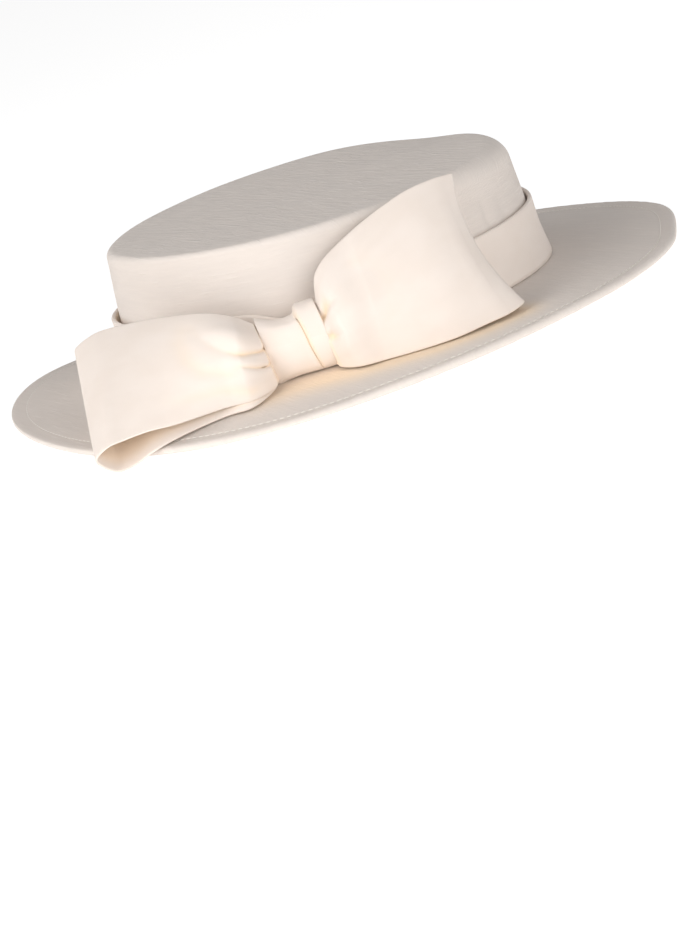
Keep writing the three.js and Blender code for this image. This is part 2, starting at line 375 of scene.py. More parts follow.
def slub_material():
    """Ivory slub cloth. Its threads' places are in centimetres, with the weft along U, so a scale
    of (0.5, 5) makes streaks about 20 mm long and 2 mm wide."""
    material, tree, shader = node_material("ivory_slub_cloth")
    place = flat_place(tree)
    streaks = noise(tree, mapped(tree, place, (0.5, 5, 1)), 4.0, 0.7, 0.15)
    swing = combined(tree, "SUBTRACT", streaks, 0.5)
    swing = combined(tree, "MULTIPLY", swing, stored(tree, "slack"))
    streaks = combined(tree, "ADD", swing, 0.5)
    slubs = noise(tree, mapped(tree, place, (0.8, 7, 1), (3, 7, 0)), 1.0, 0.5, 0.1)
    slub = ranged(tree, slubs, 0.6, 0.74)
    drift = noise(tree, mapped(tree, place, (0.22, 0.6, 1), (5, 2, 0)), 2.0)
    weft = waves(tree, mapped(tree, place, (1, 26, 1)), "Y", 1.2)
    warp = waves(tree, mapped(tree, place, (34, 1, 1)), "X", 0.8)

    colour = blended(tree, ranged(tree, streaks, 0.1, 0.75), SLUB_GREY, SLUB_PALE)
    drifted = ranged(tree, drift, 0.35, 0.7, 0, 0.5)
    colour = blended(tree, drifted, colour, SLUB_DRIFT)
    slub = combined(tree, "MULTIPLY", slub, stored(tree, "slack"))
    colour = blended(tree, combined(tree, "MULTIPLY", slub, 0.4), colour, SLUB_THICK)
    # Painted warm light: the slub cloth turns peach where the mesh stores it, on the brim under the bow.
    colour = blended(tree, stored(tree, "painted_warm_light"), colour, PEACH_PAINTED_LIGHT)
    tree.links.new(colour, shader.inputs["Base Color"])

    weave = combined(tree, "ADD", weft, combined(tree, "MULTIPLY", warp, 0.5))
    bump = raised(tree, weave, WEAVE_DEPTH)
    bump = raised(tree, streaks, STREAK_DEPTH, bump)
    bump = raised(tree, slub, SLUB_DEPTH, bump)
    tree.links.new(bump, shader.inputs["Normal"])
    tree.links.new(ranged(tree, streaks, 0.3, 0.8, 0.78, 0.62), shader.inputs["Roughness"])
    shader.inputs["Specular IOR Level"].default_value = 0.3
    shader.inputs["Sheen Weight"].default_value = 0.12
    shader.inputs["Sheen Roughness"].default_value = 0.4
    shader.inputs["Sheen Tint"].default_value = (1, 0.98, 0.95, 1)
    return material


slub_cloth = slub_material()
print("slub cloth:", len(slub_cloth.node_tree.nodes), "nodes")

# %% [markdown]
# ## Crepe ribbon
#
# The band and the bow are a smooth crepe ribbon. Its surface is a very fine pebble of crinkled
# yarns, without streaks, so it reads as plain from afar and is a shade warmer than the crown. In
# the folds light comes through the cloth and bounces between cream faces, and turns peach. Real
# subsurface light would need a very long render to show it, so that light is painted into the
# colour: each mesh stores how deep in a fold each of its points lies, and the colour turns to
# peach with that. The slub cloth has the same painted warm light, for the brim under the bow.

# %% Ribbon material
CREPE = (0.9, 0.80, 0.72)
CREPE_PALE = (0.925, 0.83, 0.755)
CREPE_HOLLOW = (0.85, 0.745, 0.66)
CREPE_DEPTH = 0.05 * MM


def ribbon_material():
    """Warm ivory crepe ribbon."""
    material, tree, shader = node_material("ivory_crepe_ribbon")
    place = flat_place(tree)
    pebble = noise(tree, mapped(tree, place, (22, 34, 1)), 2.0, 0.6, 0.6)
    ribs = waves(tree, mapped(tree, place, (46, 1, 1)), "X", 2.0)
    drift = noise(tree, mapped(tree, place, (0.5, 0.8, 1), (2, 9, 0)), 2.0)
    colour = blended(tree, ranged(tree, drift, 0.3, 0.7), CREPE, CREPE_PALE)
    hollows = ranged(tree, pebble, 0.3, 0.55, 0.16, 0.0)
    colour = blended(tree, hollows, colour, CREPE_HOLLOW)
    # Painted warm light: the ribbon's colour turns peach where the mesh stores it, deep in folds and gaps.
    colour = blended(tree, stored(tree, "painted_warm_light"), colour, PEACH_PAINTED_LIGHT)
    tree.links.new(colour, shader.inputs["Base Color"])
    grain = combined(tree, "ADD", pebble, combined(tree, "MULTIPLY", ribs, 0.35))
    tree.links.new(raised(tree, grain, CREPE_DEPTH), shader.inputs["Normal"])
    tree.links.new(ranged(tree, pebble, 0.3, 0.7, 0.66, 0.52), shader.inputs["Roughness"])
    shader.inputs["Specular IOR Level"].default_value = 0.35
    shader.inputs["Sheen Weight"].default_value = 0.18
    shader.inputs["Sheen Roughness"].default_value = 0.35
    shader.inputs["Sheen Tint"].default_value = (1, 0.97, 0.94, 1)
    return material


ribbon = ribbon_material()
print("ribbon:", len(ribbon.node_tree.nodes), "nodes")

# %% [markdown]
# ## The brim
#
# The brim is a flat ring of stiffened cloth that was blocked into a soft wave. Its edge is rolled
# over a wire, and the turned cloth is stitched down a finger's breadth inside, which leaves a
# groove with a puffed hem beside it. All of that is one closed section, so the brim is made like a
# turned bowl: the section goes round, and the wave moves it up and down on the way.

# %% Brim
BRIM_RADIUS = 150.0
BRIM_HALF = 1.0  # half its thickness
CROWN_BASE_RADIUS = 92.3
SEAT_HEIGHT = 4.6
SADDLE = {"lift": 4.6, "at": math.radians(-4), "waves": 2}
SWEEP = {"lift": 2.9, "at": math.radians(48), "waves": 3}
WAVE_GROWTH = 1.3
STITCH_RADIUS = 143.1
HEM = (141.0, 149.5)  # the radii between which the top of the hem is puffed
HEM_EASE, HEM_EASED_AT = 0.8, (180, 60)  # how much flatter it was pressed at the left
PUCKER, PUCKER_SLANT = 0.12, 0.012
PUCKER_STARTS, PUCKER_ENDS = 1.5, 2.0  # outside the stitches, and inside the edge
SWAY, SWAY_FROM = 0.3, 96.0
STRETCH_FROM = 100.0
BRIM_ROWS = 840
BRIM_SLACK = 0.5
WEFT = math.radians(-62)  # how the cloth's weft was laid over the hat

# Radius and height over the middle of the cloth, from the head hole out over the top.
BRIM_TOP = [
    (86.0, 0.0), (86.2, 0.8), (87.2, 1.0), (94, 1.0), (106, 1.0), (119, 1.0), (131, 1.0), (138, 1.0),
    (141.2, 1.0), (142.4, 0.95), (143.1, 0.75), (143.8, 0.95), (144.8, 1.15), (146.2, 1.3),
    (147.4, 1.6), (148.4, 1.7), (149.3, 1.35), (149.85, 0.7), (150.0, 0.0),
]
BRIM_UNDER = [
    (149.85, -0.7), (149.3, -1.35), (148.4, -1.7), (147.4, -1.55), (146.2, -1.4), (144.8, -1.3),
    (143.8, -0.9), (143.1, -0.6), (142.3, -0.9), (141.2, -1.35), (140.4, -1.3), (139.9, -1.05),
    (131, -1.0), (119, -1.0), (106, -1.0), (94, -1.0), (87.2, -1.0), (86.2, -0.8), (86.0, 0.0),
]

# Where the cloth has settled from its block: angle and width in degrees, then the distance.
BRIM_LIFTS = [(186, 18, -1.1), (170, 12, -0.5), (32, 24, -1.0), (54, 12, 1.6)]
BRIM_STRETCHES = [(184, 14, 1.2), (9, 8, 1.3), (-9, 9, -1.8), (-30, 13, -0.7)]

# Painted warm light: the light that comes through the bow is painted onto the brim along this path.
UNDER_BOW = [(64, -105), (50, -113), (30, -119), (0, -118), (-26, -113), (-40, -112)]
UNDER_BOW_PAINTED_LIGHT, UNDER_BOW_WIDTH, UNDER_BOW_FADE = 1.6, 10.0, 0.5


def near(angle, degrees, wide):
    """1 at an angle round the hat, given in degrees, and less on both sides of it."""
    away = (angle - math.radians(degrees) + math.pi) % (2 * math.pi) - math.pi
    return np.exp(-((away / math.radians(wide)) ** 2))


def settled(angle, table):
    """How far the cloth has settled from its block, from a table of (angle, width, distance)."""
    return sum(distance * near(angle, degrees, wide) for degrees, wide, distance in table)


def growing(radius, start):
    """0 up to the radius where it starts, and from there to 1 at the brim's edge."""
    return np.clip((radius - start) / (BRIM_RADIUS - start), 0, 1)


def brim_height(radius, angle):
    """Height of the middle of the brim's cloth, with its waves."""
    out = growing(radius, CROWN_BASE_RADIUS)
    rise = sum(w["lift"] * np.cos(w["waves"] * (angle - w["at"])) for w in (SADDLE, SWEEP))
    rise = rise + settled(angle, BRIM_LIFTS) * out
    return SEAT_HEIGHT * (1 - out) + rise * out**WAVE_GROWTH


def brim_sway(radius, angle):
    """How far the cloth sways up and down from those waves."""
    return SWAY * wander(angle, (5, 7, 11)) * growing(radius, SWAY_FROM)


def brim_stretch(radius, angle):
    """How far out the cloth has stretched."""
    return settled(angle, BRIM_STRETCHES) * growing(radius, STRETCH_FROM)


def round_the_hat(count):
    """That many angles round the hat, starting at the back."""
    return math.pi / 2 + np.linspace(0, 2 * math.pi, count, endpoint=False)


def brim_surface(section, angle):
    """The section's points at each angle, as rows round the hat."""
    radius, height = section[None, :, 0], section[None, :, 1]
    angle = angle[:, None]
    relief = 1 - HEM_EASE * near(angle, *HEM_EASED_AT)
    on_hem = (radius > HEM[0]) & (radius < HEM[1]) & (height > 0)
    height = np.where(on_hem, BRIM_HALF + (height - BRIM_HALF) * relief, height)
    puckered = relief * np.clip((radius - STITCH_RADIUS) / PUCKER_STARTS, 0, 1)
    puckered = puckered * np.clip((BRIM_RADIUS - radius) / PUCKER_ENDS, 0, 1)
    slanted = angle + PUCKER_SLANT * (radius - STITCH_RADIUS)
    pucker = PUCKER * wander(slanted, (83, 113, 139)) * puckered * np.sign(height)
    z = brim_height(radius, angle) + height + pucker + brim_sway(radius, angle)
    radius = radius + brim_stretch(radius, angle)
    return np.stack(np.broadcast_arrays(radius * np.cos(angle), radius * np.sin(angle), z), -1)


def pressed(piece):
    """Lays flat on the table what would reach below it."""
    for vertex in piece.data.vertices:
        vertex.co.z = max(vertex.co.z, 0.0)
    return piece


def repeated(grid, rows=False, columns=False):
    """The grid with its first row or column once more at its end."""
    if rows:
        grid = np.concatenate([grid, grid[:1]], 0)
    if columns:
        grid = np.concatenate([grid, grid[:, :1]], 1)
    return grid


def stroke(place, path, depth, width, fade=1.0):
    """How far a stroke along a path moves each place of the flat cloth: up where depth is
    positive. Under the bow it gives how much painted warm light each place of the brim gets.
    It is full at the start of the path and dies away towards its end."""
    path = np.asarray(path, float)
    lengths = np.linalg.norm(np.diff(path, axis=0), axis=1)
    total, before = lengths.sum(), 0.0
    nearest = np.full(place.shape[:-1], 1e9)
    reached = np.zeros(place.shape[:-1])
    for start, end, length in zip(path, path[1:], lengths):
        share = np.clip(((place - start) @ (end - start)) / length**2, 0, 1)
        gap = np.linalg.norm(place - start - share[..., None] * (end - start), axis=-1)
        closer = gap < nearest
        nearest = np.where(closer, gap, nearest)
        reached = np.where(closer, (before + share * length) / total, reached)
        before += length
    dying = 1 - fade * reached**1.5
    return depth * dying * np.exp(-((nearest / width) ** 2))


def laid(points):
    """Places on the cloth, in centimetres, of points above it, with the weft along U."""
    across_weft = np.array(((math.cos(WEFT), -math.sin(WEFT)), (math.sin(WEFT), math.cos(WEFT))))
    return points[..., :2] @ across_weft * CM


section = smooth_line(BRIM_TOP + BRIM_UNDER, 2)[:-1]
brim_points = brim_surface(section, round_the_hat(BRIM_ROWS))
brim_threads = repeated(laid(brim_points), rows=True, columns=True)
brim = sheet_of("brim_cloth", brim_points, brim_threads, rows_meet=True, columns_meet=True)
store(brim, "slack", np.full(brim_points.shape[:2], BRIM_SLACK))
# Painted warm light on the top of the brim, along the path under the bow.
painted_light_under_bow = stroke(brim_points[..., :2], UNDER_BOW, UNDER_BOW_PAINTED_LIGHT, UNDER_BOW_WIDTH, UNDER_BOW_FADE)
on_top = section[None, :, 1] > 0
store(brim, "painted_warm_light", painted_light_under_bow * on_top)
brim = pressed(sewn_up(brim, slub_cloth))
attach(brim, "root")
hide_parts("brim")

# %% [markdown]
# ## The crown
#
# The crown is blocked from one disc of the same cloth: a wide flat tip, a rounded edge and a low
# side that leans in a little. The edge was pressed sharp at the front left and left soft at the
# back right, so the radius of its bend changes on the way round. It is hollow, so the section
# runs up the outside to the middle of the tip and back down the inside.

# %% Crown
CROWN_CLOTH = 2.0
SEAT_GAP = 0.3
CROWN_FOOT = SEAT_HEIGHT + BRIM_HALF + SEAT_GAP
CROWN_TOP = 61.3
CROWN_TOP_RADIUS = 89.4
TIP_EDGE = {"radius": 7.5, "swing": 5.0, "at": math.radians(46)}
TIP_RISE = 0.7
TIP_SLOPE = (-0.018, 0.028)
CROWN_SHIFT = -1.5
CROWN_ROWS = 720
SIDE_STEPS, EDGE_STEPS, TIP_STEPS, INNER_STEPS = 16, 12, 14, 6

# Blocked cloth is never quite true: the side sways and bulges a little, and it has faint dents.
CROWN_LIFTS = [(41, 19, -2.4), (80, 16, 0.7), (140, 24, -1.0), (172, 20, -1.2)]
CROWN_BULGES = [(186, 16, 0.9)]
CROWN_SWAY = 0.35
SWAY_OUTSIDE = 70.0  # the middle of the tip, inside this radius, stays as it is
# Each dent's angle in degrees, its height, how far it reaches sideways and up, and its depth.
DENTS = [
    (-39.5, 38, 2.6, 6.5, 0.9),
    (-31, 36, 4, 8, 0.6),
    (-28.7, 47.6, 0.9, 1.2, 0.35),
    (-8, 47, 5, 6, 0.4),
]
# The tip's streaks stand out. The side is drawn tauter, least of all at the right.
TIP_SLACK, SIDE_SLACK = 1.3, 0.4
SIDE_SLACKER = [(10, 35, 0.5)]
TAUT_BELOW = 1.5  # how far under the top the side is fully taut


def up_the_crown(height):
    """0 at the crown's foot and 1 at its top."""
    return np.clip((height - CROWN_FOOT) / (CROWN_TOP - CROWN_FOOT), 0, 1)


def crown_radius(height):
    """Radius of the outside of the crown's straight side."""
    return CROWN_BASE_RADIUS + (CROWN_TOP_RADIUS - CROWN_BASE_RADIUS) * up_the_crown(height)


def leaned(points):
    """Gives the crown, and what is on it, their lean and their shift."""
    x, y, z = points[..., 0], points[..., 1], points[..., 2]
    slope = TIP_SLOPE[0] * x + TIP_SLOPE[1] * y
    return np.stack([x + CROWN_SHIFT, y, z + up_the_crown(z) * slope], -1)


def crown_section(angle, depth, side_steps, edge_steps, tip_steps):
    """Radius and height from the foot to the middle of the tip, moved in by depth."""
    bend = TIP_EDGE["radius"] + TIP_EDGE["swing"] * math.cos(angle - TIP_EDGE["at"])
    flat = CROWN_TOP_RADIUS - bend
    turn = np.linspace(0, math.pi / 2, edge_steps + 1)
    middle = np.array((flat, CROWN_TOP - bend))
    edge = middle + (bend - depth) * np.stack([np.cos(turn), np.sin(turn)], 1)
    side = np.linspace((CROWN_BASE_RADIUS - depth, CROWN_FOOT), edge[0], side_steps, endpoint=False)
    share = np.linspace(1, 0, tip_steps + 1)[1:]
    tip = np.stack([flat * share, CROWN_TOP + TIP_RISE * (1 - share**2) - depth], 1)
    return np.concatenate([side, edge, tip])


crown_angles = round_the_hat(CROWN_ROWS)
outside = np.stack([crown_section(a, 0.0, SIDE_STEPS, EDGE_STEPS, TIP_STEPS) for a in crown_angles])
inside = np.stack([crown_section(a, CROWN_CLOTH, *[INNER_STEPS] * 3) for a in crown_angles])[:, ::-1]
turn_row = outside[:, SIDE_STEPS : SIDE_STEPS + 1]  # twice, as the side's cloth and as the tip's
crown_sections = np.concatenate([outside[:, :SIDE_STEPS], turn_row, outside[:, SIDE_STEPS:], inside], 1)
crown_out, crown_up = crown_sections[..., 0], crown_sections[..., 1]
crown_round = crown_angles[:, None]

lifted = up_the_crown(crown_up) ** 3 * (crown_out / CROWN_TOP_RADIUS) ** 2
crown_up = crown_up + settled(crown_round, CROWN_LIFTS) * lifted
on_side = np.sin(up_the_crown(crown_up) * math.pi) ** 2 * (crown_out > SWAY_OUTSIDE)
sway = CROWN_SWAY * wander(crown_round, (3, 5, 8, 13)) + settled(crown_round, CROWN_BULGES)
crown_out = crown_out + sway * on_side
for degrees, at_height, wide, tall, deep in DENTS:
    dent = near(crown_round, degrees, math.degrees(wide / CROWN_TOP_RADIUS))
    crown_out = crown_out - deep * dent * np.exp(-(((crown_up - at_height) / tall) ** 2))

crown_points = [crown_out * np.cos(crown_round), crown_out * np.sin(crown_round), crown_up]
crown_points = leaned(np.stack(crown_points, -1))
step_length = np.linalg.norm(np.diff(crown_sections, axis=1), axis=2)
cloth_length = np.concatenate([np.zeros((CROWN_ROWS, 1)), np.cumsum(step_length, 1)], 1)
tip_middle = cloth_length[:, outside.shape[1] : outside.shape[1] + 1]
from_middle = np.abs(cloth_length - tip_middle)
tip_cloth = np.stack([from_middle * np.cos(crown_round), from_middle * np.sin(crown_round)], -1)
crown_threads = repeated(laid(tip_cloth), rows=True, columns=True)
round_crown = np.append(crown_angles, crown_angles[0] + 2 * math.pi) * CROWN_BASE_RADIUS * CM
side_heights = repeated(crown_sections[:, : SIDE_STEPS + 1, 1], rows=True) * CM
crown_threads[:, : SIDE_STEPS + 1] = np.stack([round_crown[:, None] + 0 * side_heights, side_heights], -1)
crown = sheet_of("crown_cloth", crown_points, crown_threads, rows_meet=True, columns_meet=True)
down_side = np.clip((CROWN_TOP - crown_sections[..., 1]) / TAUT_BELOW, 0, 1)
side_slack = SIDE_SLACK + settled(crown_round, SIDE_SLACKER)
store(crown, "slack", TIP_SLACK + (side_slack - TIP_SLACK) * down_side)
store(crown, "painted_warm_light", 0 * down_side)
crown = sewn_up(crown, slub_cloth)
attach(crown, "root")
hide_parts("crown")

# %% [markdown]
# ## The hatband
#
# The hatband is a ribbon folded lengthways and drawn round the foot of the crown. It is not glued
# to it: it stands off a little, with a dark gap along its upper edge, and its foot flares over the
# brim. Its section is a long flat ring with a soft fold at the top.

# %% Hatband
BAND_TOP = 32.5
BAND_CLOTH = 2.0
BAND_STAND_OFF = 0.6
BAND_FLARE = 0.9
BAND_HOLLOW = 0.5
BAND_ROWS, BAND_STEPS = 360, 14
BAND_SEAM = math.radians(-105)  # where its ends meet, behind the knot
BAND_PULLS = [(183, 24, 2.2)]  # it bows out where the left loop pulls it
BAND_DIPS = [(-103, 7, -5.5)]  # and dips behind the knot
BAND_SWAY_OUT, BAND_SWAY_UP = 0.22, 0.25
# Painted warm light on the band's face towards the crown, in the gap at the left.
GAP_PAINTED_LIGHT = [(185, 30, 0.8)]  # warm light in the gap behind it, at the left


def band_section(side_steps):
    """How far out from the crown, and how high, round the folded ribbon."""
    heights = np.linspace(CROWN_FOOT, BAND_TOP - BAND_CLOTH / 2, side_steps)
    drop = (BAND_TOP - heights) / (BAND_TOP - CROWN_FOOT)
    inner = BAND_STAND_OFF + BAND_FLARE * drop**2
    belly = -BAND_HOLLOW * np.sin(drop * math.pi) ** 2
    turn = np.linspace(0, math.pi, 9)[1:-1]
    half = BAND_CLOTH / 2
    top = np.array((BAND_STAND_OFF + half, BAND_TOP - half))
    fold = top + half * np.stack([np.cos(turn), np.sin(turn)], 1)
    outer = np.stack([inner + BAND_CLOTH + belly, heights], 1)
    return np.concatenate([outer, fold, np.stack([inner, heights], 1)[::-1]])


band_angles = BAND_SEAM + np.linspace(0, 2 * math.pi, BAND_ROWS, endpoint=False)
band = band_section(BAND_STEPS)
band_round, from_crown, band_up = band_angles[:, None], band[None, :, 0], band[None, :, 1]
loose = np.clip((band_up - CROWN_FOOT) / (BAND_TOP - CROWN_FOOT), 0, 1)
band_out = crown_radius(band_up) + from_crown + BAND_SWAY_OUT * wander(band_round, (4, 7, 9, 15)) * loose
band_out = band_out + settled(band_round, BAND_PULLS) * loose
uneven = BAND_SWAY_UP * wander(band_round, (2, 3, 6)) + settled(band_round, BAND_DIPS)
band_up = band_up + uneven * loose**2
band_points = np.broadcast_arrays(band_out * np.cos(band_round), band_out * np.sin(band_round), band_up)
band_points = leaned(np.stack(band_points, -1))
around_band = np.append(band_angles, band_angles[0] + 2 * math.pi) * CROWN_BASE_RADIUS * CM
across_band = np.append(band[:, 1], band[0, 1]) * CM
band_threads = np.stack(np.meshgrid(around_band, across_band, indexing="ij"), -1)
hatband = sheet_of("hatband_ribbon", band_points, band_threads, rows_meet=True, columns_meet=True)
# Painted warm light: only the band's face towards the crown gets it.
facing_crown = np.arange(len(band)) >= len(band) - BAND_STEPS
store(hatband, "painted_warm_light", facing_crown * settled(band_round, GAP_PAINTED_LIGHT))
hatband = sewn_up(hatband, ribbon)
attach(hatband, "root")
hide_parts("hatband")

# %% [markdown]
# ## The bow's loops
#
# Each loop is one ribbon that leaves the knot, turns round a soft fold and comes back behind
# itself. The table below gives a few sections across it, from the knot to the fold; smooth lines
# through them give its two edges, and the cloth is stretched between the edges. The gathers come
# last: near the knot the ribbon is squeezed to a third of its width, so it is pushed into valleys,
# ridges and puffs that die away along it. Each is a short stroke drawn on the flat ribbon.

# %% Loop shapes
RIBBON_CLOTH = 1.1
RIBBON_WIDTH = 60.0
LOOP_STEPS, LOOP_ACROSS = 36, 56
EDGE_POINTS = 5  # round each edge of a thickened cloth
FOLD_AT, FOLD_BELLY = 0.5, 0.5  # the fold is halfway along the ribbon
HOLLOW_WIDE = 0.1

# Each row is one section: where the ribbon's lower and upper edges run in front, how far the cloth
# bellies out between them, and how far behind and below each edge the back layer's edge runs.
SECTION = (
    "low_x", "low_y", "low_z", "high_x", "high_y", "high_z",
    "belly", "low_back", "low_drop", "high_back", "high_drop",
)
LEFT_SECTIONS = [
    (-22, -103.8, 7.6, -22, -101.5, 23.5, 1.5, 4, 0, 4, 1.5),
    (-31, -104, 7.2, -33, -101, 27.0, 1.5, 4, 0, 4, 1.5),
    (-35.5, -108, 5.0, -36.5, -100.5, 29.5, 3, 0, 1.5, 4, 2.0),
    (-46, -118, 4.0, -44, -101, 35, 6, -2.5, 2.5, 6, 3.0),
    (-57, -119, 4.4, -54, -97, 38.5, 6, 1, 3.6, 5, 4.0),
    (-77, -124, 4.9, -74, -88.5, 41, 4, 2.5, 5.9, 6.5, 5),
    (-88, -127, 6.1, -83.5, -85, 41.5, 3, 2.5, 8.9, 7, 6.8),
    (-98, -129, 5.9, -92, -81, 41.5, 2.5, 5.5, 12.3, 8, 8.5),
    (-105, -130, 5.2, -101, -78, 40.5, 2, 6.5, 11.8, 7, 9.5),
]
LEFT_FOLD = ((-111, -128, 1), (-110, -73.5, 35.5))  # its lower and its upper end
RIGHT_SECTIONS = [
    (-20, -105, 8.6, -20, -103, 25.0, 1.5, 4, 0, 4, 1.0),
    (-12, -106, 7.4, -13.5, -103.3, 28, 1.5, 4, 0, 4, 1.5),
    (-6.6, -109.5, 4.9, -10.2, -103.3, 29.8, 2, 4, 0, 4, 1.5),
    (1, -116, 4.2, -6, -101, 42.5, 5, 10, -0.5, 4, 1.0),
    (13, -118.5, 3.8, 11, -98, 52.5, 6, 13, -1.5, 4, 0.5),
    (39, -119, 4, 35.5, -90, 60.5, 4.5, 17, -2, 6, 1.5),
    (53.5, -115, 5, 46.5, -85, 61.5, 3, 16.5, -2, 8, 1.5),
    (63, -111, 5.5, 53.5, -80, 61, 2.5, 15, -2, 9, 1.5),
]
RIGHT_FOLD = ((70, -104, 6.8), (58, -75, 60))


def unit(vectors):
    """The vectors at length one."""
    return vectors / np.maximum(np.linalg.norm(vectors, axis=-1, keepdims=True), 1e-9)


def arched(across):
    """0 at both edges of the ribbon and 1 halfway across it."""
    return 4 * across * (1 - across)


def loop_middle(sections, fold, hollow):
    """The middle of a loop's cloth, as rows along it, with each point's place along and across.
    The hollow says how far the fold is pushed in at the middle of the ribbon."""
    table = {name: np.array([row[i] for row in sections], float) for i, name in enumerate(SECTION)}
    edges = []
    for side, turn in zip(("low", "high"), fold):
        front = np.stack([table[side + axis] for axis in ("_x", "_y", "_z")], 1)
        behind = np.stack([0 * table["belly"], table[side + "_back"], -table[side + "_drop"]], 1)
        line = np.concatenate([front, [turn], (front + behind)[::-1]])
        edges.append(smooth_line(line, LOOP_STEPS))
    low, high = edges
    along = np.linspace(0, 1, len(low))[:, None]
    across = np.linspace(0, 1, LOOP_ACROSS)[None, :]
    bellies = np.concatenate([table["belly"], [FOLD_BELLY], 0 * table["belly"]])
    belly = np.interp(along, np.linspace(0, 1, len(bellies)), bellies) * arched(across)
    rise = high - low
    forward = unit(np.stack([0 * rise[:, 0], -rise[:, 2], rise[:, 1]], 1))[:, None, :]
    points = low[:, None, :] + rise[:, None, :] * across[..., None] + forward * belly[..., None]
    inward = hollow * arched(across) * np.exp(-(((along - FOLD_AT) / HOLLOW_WIDE) ** 2))
    points[..., 0] -= np.sign(fold[0][0]) * inward
    return points, along + 0 * across, across + 0 * along


def thickened(middle, thickness):
    """A closed section round the middle of the cloth, with rounded edges, at each row."""
    along = np.gradient(middle, axis=0)
    across = np.gradient(middle, axis=1)
    normal = unit(np.cross(along, across))
    across = unit(across)
    half = thickness / 2
    turn = np.linspace(0, math.pi, EDGE_POINTS + 2)[1:-1][None, :, None]
    top = middle[:, -1:] + half * (normal[:, -1:] * np.cos(turn) + across[:, -1:] * np.sin(turn))
    bottom = middle[:, :1] - half * (normal[:, :1] * np.cos(turn) + across[:, :1] * np.sin(turn))
    return np.concatenate([middle + half * normal, top, (middle - half * normal)[:, ::-1], bottom], 1)


def wrapped_threads(along, across):
    """The flat place of each point of a thickened cloth."""
    flat = np.stack([along, across], -1)
    top = np.repeat(flat[:, -1:], EDGE_POINTS, 1)
    bottom = np.repeat(flat[:, :1], EDGE_POINTS, 1)
    return np.concatenate([flat, top, flat[:, ::-1], bottom, flat[:, :1]], 1)


def store_painted_warm_light(piece, first_face, second_face):
    """Stores the painted warm light of a thickened cloth's two faces. Its edges get none."""
    edge = np.zeros((len(first_face), EDGE_POINTS))
    painted_warm_light = np.concatenate([first_face, edge, second_face[:, ::-1], edge], 1)
    store(piece, "painted_warm_light", np.clip(painted_warm_light, 0, 1))


def smooth_step(value, low, high):
    """From 0 at low to 1 at high."""
    t = np.clip((value - low) / (high - low), 0, 1)
    return t * t * (3 - 2 * t)


SWELL_ACROSS = (0, 0.25, 0.75, 1)  # the places across the ribbon that the four rises are for
SWELLS_WITHIN, SWELL_DIES = 1.1, (3, 20)
AT_KNOT, GATHER_FULL = 0.28, (0.3, 1.7)  # the gathers are weak under the knot's edge
FRONT_ENDS = 0.06  # how far short of the fold they start to die away
# Painted warm light in the loops: in the gathers' valleys, along the knot's edge, and over the face that
# looks into each loop.
PAINTED_LIGHT_DEPTH, PAINTED_LIGHT_POWER = 1.5, 1.2  # a valley of this depth glows in full
KNOT_PAINTED_LIGHT, KNOT_PAINTED_LIGHT_DIES = 0.5, (0.6, 1.6)
INSIDE_PAINTED_LIGHT, INSIDE_PAINTED_LIGHT_FULL = 0.65, 0.12


def swelling(x, across, knot_edge, side, rises, starts):
    """How far the cloth swells forward as it comes out from under the knot's edge, and how far
    out from that edge it is."""
    edge = knot_edge[0] + (knot_edge[1] - knot_edge[0]) * across
    clear = side * (x - edge)
    rise = np.interp(across, SWELL_ACROSS, rises)
    rise = rise * smooth_step(clear, starts, starts + SWELLS_WITHIN)
    return rise * (1 - smooth_step(clear, *SWELL_DIES)), clear


def bow_loop(name, node, sections, fold, hollow, gathers, puffs, swell):
    """A loop of the bow, with its gathers, sewn and finished."""
    middle, along, across = loop_middle(sections, fold, hollow)
    steps = np.linalg.norm(np.diff(middle[:, LOOP_ACROSS // 2], axis=0), axis=1)
    length = np.concatenate([[0], np.cumsum(steps)])[:, None] + 0 * along
    place = np.stack([middle[..., 0], across * RIBBON_WIDTH], -1)
    lift = sum(stroke(place, *gather) for gather in gathers)
    for centre, size, rise in puffs:
        lift = lift + rise * np.exp(-((((place - centre) / size) ** 2).sum(-1)))
    front = np.clip((FOLD_AT - along) / FRONT_ENDS, 0, 1)
    forward, clear = swelling(middle[..., 0], across, *swell)
    lift = lift * front * (AT_KNOT + (1 - AT_KNOT) * smooth_step(clear, *GATHER_FULL))
    middle[..., 1] -= forward * front
    # Painted warm light: the deeper a valley of the gathers, and the nearer the knot's edge, the more.
    painted_warm_light = np.clip(-lift / PAINTED_LIGHT_DEPTH, 0, 1) ** PAINTED_LIGHT_POWER
    painted_warm_light = painted_warm_light + KNOT_PAINTED_LIGHT * front * (1 - smooth_step(clear, *KNOT_PAINTED_LIGHT_DIES))
    normal = unit(np.cross(np.gradient(middle, axis=0), np.gradient(middle, axis=1)))
    turned_back = np.sign(normal[: len(normal) // 3, :, 1].mean())  # of the front layer's normals
    middle = middle - turned_back * normal * lift[..., None]
    points = thickened(middle, RIBBON_CLOTH)
    threads = wrapped_threads(length * CM, across * RIBBON_WIDTH * CM)
    piece = sheet_of(name, points, threads, columns_meet=True)
    # Painted warm light over the face inside the loop, fading out towards its lower edge.
    inside_painted_warm_light = INSIDE_PAINTED_LIGHT * smooth_step(across, 0, INSIDE_PAINTED_LIGHT_FULL)
    faces = (inside_painted_warm_light, painted_warm_light) if turned_back > 0 else (painted_warm_light, inside_painted_warm_light)
    store_painted_warm_light(piece, *faces)
    piece = sewn_up(piece, ribbon)
    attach(piece, "root")
    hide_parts(node)
    print(f"{name}: {length.max():.0f} mm of ribbon")


# %% [markdown]
# ## The gathers of the two loops
#
# On the left a rounded lobe swells out above a curved valley, and a second short valley lies
# under it. On the right one round puff pushes out between two short creases, with a shallow
# hollow round it. Places are along X and across the ribbon, in millimetres.

